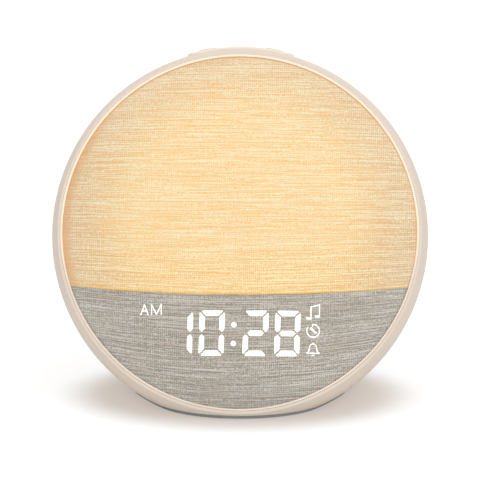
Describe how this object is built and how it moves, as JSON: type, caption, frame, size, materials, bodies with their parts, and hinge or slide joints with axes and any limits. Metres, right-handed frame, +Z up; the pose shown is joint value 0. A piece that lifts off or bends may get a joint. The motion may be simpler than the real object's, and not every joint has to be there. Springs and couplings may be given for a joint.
{
  "type": "sunrise alarm clock",
  "caption": "Round sunrise alarm clock: a domed fabric front over a lamp and a lit time display, keys on top, speaker and power socket behind, flat rubber foot.",
  "frame": {"origin": "middle of the bounding box at the level of the table", "axes": "+Z up, the face looks along -Y and leans back, +X to the right seen from the front"},
  "size_m": [0.165, 0.1083, 0.1502],
  "materials": {
    "shell": "fine matte moulded finish",
    "deck": "smooth satin",
    "key": "smooth satin",
    "bezel": "polished",
    "fabric": "slub weave in a grey beige yarn",
    "diffuser": "opal, lets light through",
    "panel": "matte",
    "frame": "matte",
    "reflector": "white, reflective",
    "white_board": "white solder mask",
    "emitter": "yellow phosphor",
    "board": "green solder mask",
    "block": "matte black",
    "lit_pipe": "milky, lit white",
    "dark_pipe": "milky, unlit",
    "chip": "matte",
    "plunger": "matte",
    "switch": "matte",
    "can": "satin",
    "socket_steel": "satin",
    "ribbon": "satin",
    "speaker_steel": "black zinc",
    "magnet": "matte ferrite",
    "coil": "enamelled copper",
    "cone": "pressed paper",
    "soft_rubber": "matte",
    "wire": "insulated",
    "screw": "zinc plated",
    "foot": "matte"
  },
  "bodies": {
    "clock": {"main_housing": "shell", "rear_cover": "shell", "foot_pad": "foot", "bezel_ring": "bezel", "fabric_cover": "fabric", "light_diffuser": "diffuser", "display_panel": "panel", "front_frame": "frame", "reflector": "reflector", "light_board": "white_board", "light_emitters": "emitter", "display_board": "board", "segment_block": "block", "lit_segments": "lit_pipe", "dark_segments": "dark_pipe", "lit_symbols": "lit_pipe", "dark_symbols": "dark_pipe", "display_emitters": "emitter", "display_driver": "chip", "button_deck": "deck", "switch_board": "board", "switch_bodies": "switch", "main_board": "board", "control_chips": "chip", "board_capacitors": "can", "coin_cell": "can", "cell_holder": "switch", "power_socket": "socket_steel", "ribbon_sockets": "ribbon", "display_ribbon": "ribbon", "light_ribbon": "ribbon", "key_ribbon": "ribbon", "speaker_frame": "speaker_steel", "speaker_magnet": "magnet", "speaker_yoke": "speaker_steel", "speaker_surround": "soft_rubber", "speaker_gasket": "soft_rubber", "speaker_wires": "wire", "rear_screws": "screw", "frame_screws": "screw", "reflector_screws": "screw", "display_screws": "screw", "main_board_screws": "screw", "switch_board_screws": "screw", "speaker_screws": "screw"},
    "snooze_button": {"snooze_key": "key", "snooze_plunger": "plunger"},
    "plus_button": {"plus_key": "key", "plus_plunger": "plunger"},
    "minus_button": {"minus_key": "key", "minus_plunger": "plunger"},
    "light_button": {"light_key": "key", "light_plunger": "plunger"},
    "sound_button": {"sound_key": "key", "sound_plunger": "plunger"},
    "speaker_motor": {"voice_coil": "coil", "speaker_cone": "cone", "dust_cap": "cone"}
  },
  "joints": [
    {"name": "snooze_press", "type": "slide", "parent": "clock", "child": "snooze_button", "axis": [0, -0.3746, -0.9272], "range_m": [0, 0.0005], "stiffness_N_per_m": 1500},
    {"name": "plus_press", "type": "slide", "parent": "clock", "child": "plus_button", "axis": [0, -0.3746, -0.9272], "range_m": [0, 0.0005], "stiffness_N_per_m": 1500},
    {"name": "minus_press", "type": "slide", "parent": "clock", "child": "minus_button", "axis": [0, -0.3746, -0.9272], "range_m": [0, 0.0005], "stiffness_N_per_m": 1500},
    {"name": "light_press", "type": "slide", "parent": "clock", "child": "light_button", "axis": [0, -0.3746, -0.9272], "range_m": [0, 0.0005], "stiffness_N_per_m": 1500},
    {"name": "sound_press", "type": "slide", "parent": "clock", "child": "sound_button", "axis": [0, -0.3746, -0.9272], "range_m": [0, 0.0005], "stiffness_N_per_m": 1500},
    {"name": "speaker_stroke", "type": "slide", "parent": "clock", "child": "speaker_motor", "axis": [0, 0.9272, -0.3746], "range_m": [-0.0005, 0.0005], "stiffness_N_per_m": 1500, "deforming": ["speaker_surround"]}
  ]
}
